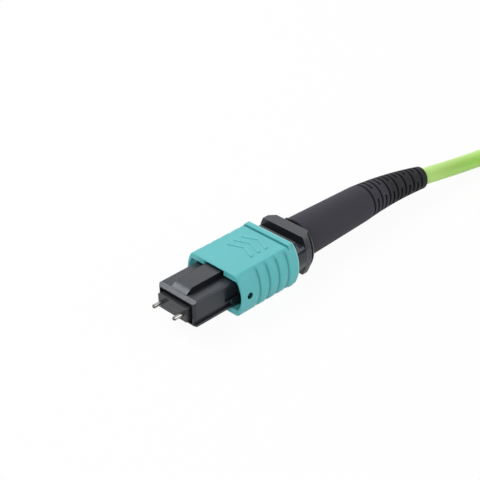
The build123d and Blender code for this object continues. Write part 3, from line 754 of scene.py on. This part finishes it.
class CONNECTOR_OT_cord(bpy.types.Operator):
    """Make the cable, straight out of the boot and wound flat beside the lead"""

    bl_idname = "connector.cord"
    bl_label = "Cable"

    def execute(self, context):
        sizes = context.scene.connector_cord
        finishes = context.scene.connector_finishes
        points = [Vector(place) for place in CABLE_ROUTE + coil_points()]
        curve = bpy.data.curves.new("cable_run", "CURVE")
        curve.dimensions = "3D"
        spline = curve.splines.new("NURBS")
        spline.points.add(len(points) - 1)
        for point, place in zip(spline.points, points):
            point.co = (*(place * MM), 1)
        spline.order_u = 3
        spline.use_endpoint_u = True
        curve.resolution_u = 8
        curve.bevel_depth = sizes.diameter / 2
        curve.bevel_resolution = 7
        curve.use_fill_caps = True
        curve.materials.append(self.jacket(finishes.jacket))
        cable = bpy.data.objects.new("cable_run", curve)
        context.scene.collection.objects.link(cable)
        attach(cable, body_of_node("cable"))
        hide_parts("cable", "cable_coil")
        return {"FINISHED"}

    def jacket(self, tone):
        return moulded_material(
            "jacket_lime",
            tone,
            edge_highlight=(0.55, 0.78, 0.35),
            bump=0.012,
            surface_values={
                "Grain per mm": 5.0,
                "Clouds per mm": 0.25,
                "Cloud Strength": 0.05,
                "Gloss Roughness": 0.46,
                "Roughness Change": 0.08,
            },
            shader_values={"Specular IOR Level": 0.45},
        )


class CONNECTOR_OT_ties(bpy.types.Operator):
    """Make the woven straps that hold the coil"""

    bl_idname = "connector.ties"
    bl_label = "Coil ties"

    def execute(self, context):
        sizes = context.scene.connector_cord
        finishes = context.scene.connector_finishes
        material = thread_material(
            "tie_weave", finishes.tie, along=2.6, across=2.6, bump=0.05, roughness=0.75
        )
        for name, node in (("strap_near", "coil_tie_near"), ("strap_far", "coil_tie_far")):
            self.make_strap(sizes, name, node, material)
        return {"FINISHED"}

    def make_strap(self, sizes, name, node, material):
        """A strap round one straight side of the coil, drawn in a little between the cables."""
        low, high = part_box(node)
        middle = (low + high) / 2
        size = high - low - Vector((0, 2, 2)) * sizes.tie_thickness
        shape = bmesh.new()
        bmesh.ops.create_cube(shape, size=1)
        bmesh.ops.scale(shape, verts=shape.verts, vec=size)
        ends = [face for face in shape.faces if abs(face.normal.x) > 0.5]
        bmesh.ops.delete(shape, geom=ends, context="FACES_ONLY")
        bmesh.ops.bevel(
            shape,
            geom=[edge for edge in shape.edges if self.run(edge) > size.x / 2],
            affect="EDGES",
            offset=STRAP_CORNER * MM,
            segments=7,
            profile=0.5,
            material=-1,
        )
        level = [edge for edge in shape.edges if self.run(edge) < WELD]
        sides = [edge for edge in level if edge.calc_length() > STRAP_CORNER * MM]
        bmesh.ops.subdivide_edges(shape, edges=sides, cuts=STRAP_CUTS)
        bmesh.ops.recalc_face_normals(shape, faces=shape.faces)
        for vert in shape.verts:
            for axis in (1, 2):
                if abs(vert.co[axis]) > size[axis] / 2 - ON_PLANE:
                    place = vert.co[3 - axis] / sizes.diameter
                    dip = STRAP_DIP * MM * (1 + math.cos(2 * math.pi * place))
                    vert.co[axis] -= math.copysign(dip, vert.co[axis])
        bmesh.ops.translate(shape, verts=shape.verts, vec=middle)
        strap = shape_to_piece(shape, name, body_of_node(node), [material], smooth_angle=50)
        wall = strap.modifiers.new("thickness", "SOLIDIFY")
        wall.thickness = sizes.tie_thickness
        wall.offset = 1
        edge = strap.modifiers.new("edge", "BEVEL")
        edge.width = STRAP_EDGE * MM
        edge.segments = EDGE_SEGMENTS
        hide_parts(node)

    def run(self, edge):
        """How far an edge runs across the strap's width."""
        return abs(edge.verts[0].co.x - edge.verts[1].co.x)


class CONNECTOR_OT_sleeve(bpy.types.Operator):
    """Dress the coupling sleeve and put plain pull marks on both its faces"""

    bl_idname = "connector.sleeve"
    bl_label = "Coupling sleeve"

    def execute(self, context):
        sizes = context.scene.connector_plug
        finishes = context.scene.connector_finishes
        material = moulded_material(
            "sleeve_aqua",
            finishes.sleeve,
            edge_highlight=(0.42, 0.80, 0.82),
            bump=0.008,
            surface_values={
                "Grain per mm": 11.0,
                "Clouds per mm": 0.3,
                "Cloud Strength": 0.05,
                "Gloss Roughness": 0.48,
                "Roughness Change": 0.1,
                "Highlight Share": 0.8,
            },
            shader_values={"Specular IOR Level": 0.5},
        )
        self.shade_grooves(material)
        sleeve = merged_copy("coupling_sleeve")
        for vert in sleeve.verts:
            if vert.co.x > LIP_FRONT * MM and abs(vert.co.z) > LIP_FOOT * MM:
                vert.co.y *= LIP_WIDTH_SHARE
        break_edges(sleeve, sizes.sleeve_edge, sharper=50)
        replace_node("coupling_sleeve", "sleeve_moulding", sleeve, "sleeve_aqua", material)
        self.make_chevrons(sizes, material)
        return {"FINISHED"}

    def shade_grooves(self, material):
        """Painted shade as darker aqua in the grooves and the side holes, and a painted highlight as a
        paler line along the rear rim.
        """
        tree = material.node_tree
        axes = place_axes(tree)
        height = math_node(tree, "ABSOLUTE", axes[2])
        # Painted shade along the grip grooves on the sleeve's sides
        steps = math_node(tree, "MULTIPLY_ADD", axes[0], 1 / GRIP_PITCH, -FIRST_GROOVE / GRIP_PITCH)
        apart = math_node(tree, "PINGPONG", steps, 0.5)
        groove = share_between(tree, apart, GROOVE_SHADE / GRIP_PITCH, 0)
        in_row = math_node(tree, "COMPARE", steps, GRIP_ROW_MIDDLE, GRIP_ROW_REACH)
        fade = share_between(tree, height, GRIP_TOP, GRIP_TOP - GRIP_FADE)
        side = math_node(tree, "GREATER_THAN", math_node(tree, "ABSOLUTE", axes[1]), GRIP_SIDE)
        grips = product(tree, groove, in_row, fade, side)
        # Painted shade in the groove before the rear lip
        before_lip = math_node(tree, "COMPARE", axes[0], LIP_GROOVE, LIP_GROOVE_REACH)
        raised = math_node(tree, "GREATER_THAN", height, SLEEVE_TOP)
        grooves = math_node(tree, "MAXIMUM", grips, product(tree, before_lip, raised, LIP_GROOVE_SHADE_SHARE))
        tint(material, product(tree, grooves, GROOVE_SHADE_SHARE), GROOVE_SHADE_AQUA)
        # A painted highlight: a paler line along the sleeve's rear rim
        rim = math_node(tree, "COMPARE", axes[0], LIP_RIM, LIP_RIM_REACH)
        tint(material, product(tree, rim, RIM_HIGHLIGHT_SHARE), RIM_HIGHLIGHT_AQUA)
        # Painted shade inside the side holes
        aside = vector_node(tree, "SUBTRACT", {0: millimetre_place(tree), 1: SIDE_HOLE})
        flattened = vector_node(tree, "MULTIPLY", {0: aside, 1: (1, 0, 1)})
        reach = put(tree, "ShaderNodeVectorMath", {0: flattened}, operation="LENGTH").outputs["Value"]
        tint(material, math_node(tree, "LESS_THAN", reach, SIDE_HOLE_SHADE), HOLE_SHADE_AQUA)

    def make_chevrons(self, sizes, material):
        """Low marks on both faces that point the way the sleeve is pulled."""
        half, arm = sizes.chevron_width / 2, MARK_ARM * MM
        shape = bmesh.new()
        for side in (1, -1):
            for mark in range(sizes.chevron_count):
                tip = (MARK_FIRST + MARK_PITCH * mark) * MM
                back = tip - MARK_SWEEP * MM
                outline = [
                    (back, -half),
                    (back + arm, -half),
                    (tip + arm, 0),
                    (back + arm, half),
                    (back, half),
                    (tip, 0),
                ]
                base = side * MARK_BASE * MM
                face = shape.faces.new([shape.verts.new((x, y, base)) for x, y in outline])
                raised = bmesh.ops.extrude_face_region(shape, geom=[face])
                tops = [part for part in raised["geom"] if isinstance(part, bmesh.types.BMVert)]
                rise = side * (sizes.chevron_height + MARK_SINK * MM)
                bmesh.ops.translate(shape, verts=tops, vec=(0, 0, rise))
        bmesh.ops.recalc_face_normals(shape, faces=shape.faces)
        break_edges(shape, MARK_EDGE * MM)
        shape_to_piece(shape, "pull_marks", "sleeve", [material])


class CONNECTOR_OT_mouldings(bpy.types.Operator):
    """Dress the plug's housing and its back shell"""

    bl_idname = "connector.mouldings"
    bl_label = "Black mouldings"

    def execute(self, context):
        sizes = context.scene.connector_plug
        finishes = context.scene.connector_finishes
        material = moulded_material(
            "plug_black",
            finishes.housing,
            edge_highlight=finishes.housing_edge_highlight,
            bump=0.010,
            surface_values={
                "Grain per mm": 12.0,
                "Clouds per mm": 0.45,
                "Cloud Strength": 0.25,
                "Gloss Roughness": 0.37,
                "Roughness Change": 0.16,
                "Highlight Share": 0.75,
            },
            shader_values={"Specular IOR Level": 0.52, "Specular Tint": (0.88, 0.93, 1, 1)},
        )
        shade = self.shade(finishes.housing)
        housing = merged_copy("plug_housing")
        self.lower_key(housing)
        break_edges(housing, sizes.housing_edge)
        # The key's side walls take the shaded black, a painted shade
        for face in housing.faces:
            middle = face.calc_center_median()
            on_key = abs(middle.y) < KEY_SIDE * MM and middle.z > KEY_FOOT * MM
            if on_key and abs(face.normal.y) > 0.95:
                face.material_index = 1
        replace_node("plug_housing", "housing_moulding", housing, "plug_black", material, shade)
        shell = merged_copy("back_shell")
        self.groove_flange(shell)
        break_edges(shell, sizes.housing_edge)
        replace_node("back_shell", "back_shell_moulding", shell, "plug_black", material, shade)
        return {"FINISHED"}

    def shade(self, tone):
        """The black of the key's walls and of fine grooves, where little light gets in."""
        return moulded_material(
            "plug_black_shaded",
            [channel / 2 for channel in tone],
            edge_highlight=tone,
            bump=0.010,
            surface_values={"Grain per mm": 12.0, "Gloss Roughness": 0.7, "Highlight Share": 0.2},
            shader_values={"Specular IOR Level": 0.15},
        )

    def lower_key(self, shape):
        """Brings the front of the key down to the slope of the nose."""
        for vert in shape.verts:
            on_key = abs(vert.co.y) < KEY_SIDE * MM and vert.co.z > KEY_BROW * MM
            if on_key and vert.co.x < KEY_FRONT * MM:
                vert.co.z = NOSE_TOP * MM

    def groove_flange(self, shape):
        """A fine groove down both sides of the back shell's flange."""
        half_width = FLANGE_GROOVE_HALF * MM
        for place in (-half_width, 0, half_width):
            bmesh.ops.bisect_plane(
                shape,
                geom=[*shape.verts, *shape.edges, *shape.faces],
                dist=WELD,
                plane_co=(FLANGE_GROOVE * MM + place, 0, 0),
                plane_no=(1, 0, 0),
            )
        for vert in shape.verts:
            on_line = abs(vert.co.x - FLANGE_GROOVE * MM) < ON_PLANE
            if on_line and abs(vert.co.y) > FLANGE_SIDE * MM:
                share = smooth_share((FLANGE_TOP * MM - abs(vert.co.z)) / (FLANGE_FADE * MM))
                vert.co.y -= math.copysign(FLANGE_GROOVE_DEPTH * MM * share, vert.co.y)
        # The groove's faces take the shaded black, a painted shade
        for face in shape.faces:
            middle = face.calc_center_median()
            in_groove = abs(middle.x - FLANGE_GROOVE * MM) < half_width
            if in_groove and abs(middle.y) > FLANGE_SIDE * MM:
                face.material_index = 1


class CONNECTOR_OT_boot(bpy.types.Operator):
    """Dress the slotted boot"""

    bl_idname = "connector.boot"
    bl_label = "Boot"

    def execute(self, context):
        finishes = context.scene.connector_finishes
        material = moulded_material(
            "boot_black",
            finishes.boot,
            edge_highlight=(0.05, 0.05, 0.06),
            bump=0.012,
            surface_values={
                "Grain per mm": 7.0,
                "Clouds per mm": 0.2,
                "Cloud Strength": 0.15,
                "Gloss Roughness": 0.74,
                "Roughness Change": 0.1,
                "Highlight Share": 0.5,
            },
            shader_values={"Specular IOR Level": 0.32, "Specular Tint": (0.95, 0.95, 1, 1)},
        )
        self.paint_slot_shade(material, finishes.boot)
        paint_node("boot", material)
        return {"FINISHED"}

    def paint_slot_shade(self, material, tone):
        """Painted shade: the slotted end of the boot, and the top of its front edge, blacker than the rest.
        """
        tree = material.node_tree
        axes = place_axes(tree)
        # Painted shade over the slotted end, where the slots let little light in
        slotted = share_between(tree, axes[0], SLOTS_FRONT, SLOTS_FRONT + SLOTS_FADE)
        # Painted shadow along the top of the front edge, behind the flange
        front = math_node(tree, "LESS_THAN", axes[0], BOOT_EDGE)
        crown = product(tree, front, math_node(tree, "GREATER_THAN", axes[2], BOOT_CROWN))
        darker = math_node(tree, "MULTIPLY_ADD", slotted, SLOTS_SHADE_SHARE, crown, clamp=True)
        tint(material, darker, rgba(tone, 0.1))


class CONNECTOR_OT_optics(bpy.types.Operator):
    """Dress the ferrule, its adhesive, its fibres and its rubber grommet"""

    bl_idname = "connector.optics"
    bl_label = "Ferrule and fibres"

    def execute(self, context):
        sizes = context.scene.connector_plug
        dress_node("ferrule", "ferrule_block", sizes.small_edge, "ferrule_polymer", self.ferrule())
        paint_node("ferrule_adhesive", self.adhesive())
        paint_node("fibre_ribbon", self.fibres())
        grommet = moulded_material(
            "grommet_rubber",
            (0.02, 0.02, 0.02),
            edge_highlight=(0.04, 0.04, 0.04),
            bump=0.02,
            surface_values={"Grain per mm": 8.0, "Gloss Roughness": 0.7},
            shader_values={"Specular IOR Level": 0.35},
        )
        paint_node("ribbon_grommet", grommet)
        return {"FINISHED"}

    def ferrule(self):
        """Glass-filled polymer, grainy on its sides and polished on its end face."""
        tone = (0.016, 0.016, 0.019)
        material, tree, shader = new_material("ferrule_polymer", tone)
        given = {
            "Tone": rgba(tone),
            "Edge Highlight Tone": rgba((0.05, 0.05, 0.055)),
            "Grain per mm": 16.0,
            "Gloss Roughness": 0.35,
            "Highlight Share": 0.1,
        }
        surface = surface_group(tree, "moulding", given)
        polished = math_node(tree, "LESS_THAN", place_axes(tree)[0], FERRULE_FACE)
        rough = math_node(tree, "MULTIPLY_ADD", polished, -0.3, surface["Roughness"], clamp=True)
        grain = product(tree, surface["Height"], math_node(tree, "SUBTRACT", 1.0, polished))
        feed(
            tree,
            shader,
            {
                "Specular Tint": (0.9, 0.95, 1, 1),
                "Base Color": surface["Color"],
                "Roughness": rough,
                "Normal": bumped(tree, grain, 0.012),
            },
        )
        return material

    def adhesive(self):
        """Cured amber-black adhesive with a slightly wavy gloss."""
        tone = (0.05, 0.035, 0.02)
        material, tree, shader = new_material("epoxy", tone)
        wave = noise(tree, millimetre_place(tree), 1.4, detail=2.0)
        feed(
            tree,
            shader,
            {
                "Base Color": blend_colours(tree, wave, rgba(tone, 0.6), rgba(tone, 1.8)),
                "Roughness": math_node(tree, "MULTIPLY_ADD", wave, 0.12, 0.1),
                "Normal": bumped(tree, wave, 0.05),
                "Coat Weight": 0.5,
                "Coat Roughness": 0.06,
            },
        )
        return material

    def fibres(self):
        """Twelve coated fibres side by side, each in its standard colour."""
        colours = [
            (0.02, 0.12, 0.6),
            (0.85, 0.25, 0.03),
            (0.03, 0.35, 0.08),
            (0.16, 0.07, 0.03),
            (0.22, 0.24, 0.26),
            (0.85, 0.85, 0.85),
            (0.65, 0.03, 0.03),
            (0.01, 0.01, 0.01),
            (0.85, 0.7, 0.05),
            (0.28, 0.08, 0.4),
            (0.8, 0.35, 0.4),
            (0.1, 0.6, 0.6),
        ]
        material, tree, shader = new_material("fibre_glass", colours[0])
        axes = place_axes(tree)
        half_width = FIBRE_PITCH * len(colours) / 2
        across = share_between(tree, axes[1], -half_width, half_width)
        bands = put(tree, "ShaderNodeValToRGB", {"Fac": across})
        bands.color_ramp.interpolation = "CONSTANT"
        stops = bands.color_ramp.elements
        stops[0].color = rgba(colours[0])
        for index, colour in enumerate(colours[1:], 1):
            stops.new(index / len(colours)).color = rgba(colour)
        stops.remove(stops[-1])
        ridge = math_node(tree, "SINE", product(tree, axes[1], 2 * math.pi / FIBRE_PITCH))
        glass = math_node(tree, "LESS_THAN", axes[0], BARE_FIBRE)
        feed(
            tree,
            shader,
            {
                "Base Color": blend_colours(tree, glass, bands.outputs["Color"], GLASS_GREY),
                "Roughness": math_node(tree, "MULTIPLY_ADD", ridge, 0.05, 0.25),
                "Normal": bumped(tree, ridge, 0.03),
            },
        )
        return material


class CONNECTOR_OT_metalwork(bpy.types.Operator):
    """Dress the guide pins, their keeper, the springs, the crimp ring and the yarn under it"""

    bl_idname = "connector.metalwork"
    bl_label = "Metalwork and yarn"

    def execute(self, context):
        sizes = context.scene.connector_plug
        ground = metal_material(
            "pin_steel",
            (0.36, 0.35, 0.335),
            scratches=(3.0, 22.0, 22.0),
            roughness=0.2,
            bump=0.002,
            strength=0.16,
        )
        self.darken_noses(ground)
        stamped = metal_material(
            "keeper_steel", (0.60, 0.60, 0.62), scratches=(4.0, 3.0, 14.0), roughness=0.32, bump=0.006
        )
        drawn = metal_material(
            "spring_steel", (0.62, 0.62, 0.65), scratches=(9.0, 9.0, 9.0), roughness=0.24, bump=0.004
        )
        plated = metal_material(
            "crimp_metal", (0.72, 0.70, 0.64), scratches=(2.0, 9.0, 9.0), roughness=0.3, bump=0.006
        )
        dress_node("guide_pin_left", "pin_left", sizes.small_edge, "pin_steel", ground)
        dress_node("guide_pin_right", "pin_right", sizes.small_edge, "pin_steel", ground)
        dress_node("pin_keeper", "keeper_plate", sizes.small_edge, "keeper_steel", stamped)
        paint_node("crimp_ring", plated)
        for spring, joint, stroke in SPRING_STROKES:
            shape = merged_copy(spring)
            wire = replace_node(spring, spring + "_wire", shape, "spring_steel", drawn)
            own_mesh(wire)
        yarn = thread_material(
            "aramid", (0.72, 0.60, 0.20), along=0.4, across=7.0, bump=0.06, roughness=0.6
        )
        paint_node("aramid_yarn", yarn)
        return {"FINISHED"}

    def darken_noses(self, material):
        """The pins' noses, coloured darker and browner than their sides."""
        tree = material.node_tree
        nose = share_between(tree, place_axes(tree)[0], PIN_NOSE, PIN_NOSE - NOSE_FADE)
        tint(material, nose, NOSE_GREY)


class CONNECTOR_PT_panel(bpy.types.Panel):
    """Steps that dress the connector, in order"""

    bl_label = "Multi-fibre connector"
    bl_idname = "CONNECTOR_PT_panel"
    bl_space_type = "VIEW_3D"
    bl_region_type = "UI"
    bl_category = "Connector"

    def draw(self, context):
        for step in STEPS:
            self.layout.operator(step.bl_idname)
        for name in PROPERTY_GROUPS:
            settings = getattr(context.scene, name)
            for key in settings.__annotations__:
                self.layout.prop(settings, key)


PROPERTY_GROUPS = {
    "connector_plug": PlugSizes,
    "connector_cord": CordSizes,
    "connector_finishes": Finishes,
    "connector_stage": StageSettings,
}
STEPS = (
    CONNECTOR_OT_stage,
    CONNECTOR_OT_cord,
    CONNECTOR_OT_ties,
    CONNECTOR_OT_sleeve,
    CONNECTOR_OT_mouldings,
    CONNECTOR_OT_boot,
    CONNECTOR_OT_optics,
    CONNECTOR_OT_metalwork,
)
CLASSES = (*PROPERTY_GROUPS.values(), *STEPS, CONNECTOR_PT_panel)


def register():
    for each in CLASSES:
        bpy.utils.register_class(each)
    for name, group in PROPERTY_GROUPS.items():
        setattr(bpy.types.Scene, name, bpy.props.PointerProperty(type=group))


def unregister():
    for name in PROPERTY_GROUPS:
        delattr(bpy.types.Scene, name)
    for each in reversed(CLASSES):
        bpy.utils.unregister_class(each)


def main():
    register()
    build_moulding_group()
    build_metal_group()
    build_thread_group()
    for step in STEPS:
        family, name = step.bl_idname.split(".")
        getattr(getattr(bpy.ops, family), name)()


if __name__ == "__main__":
    main()
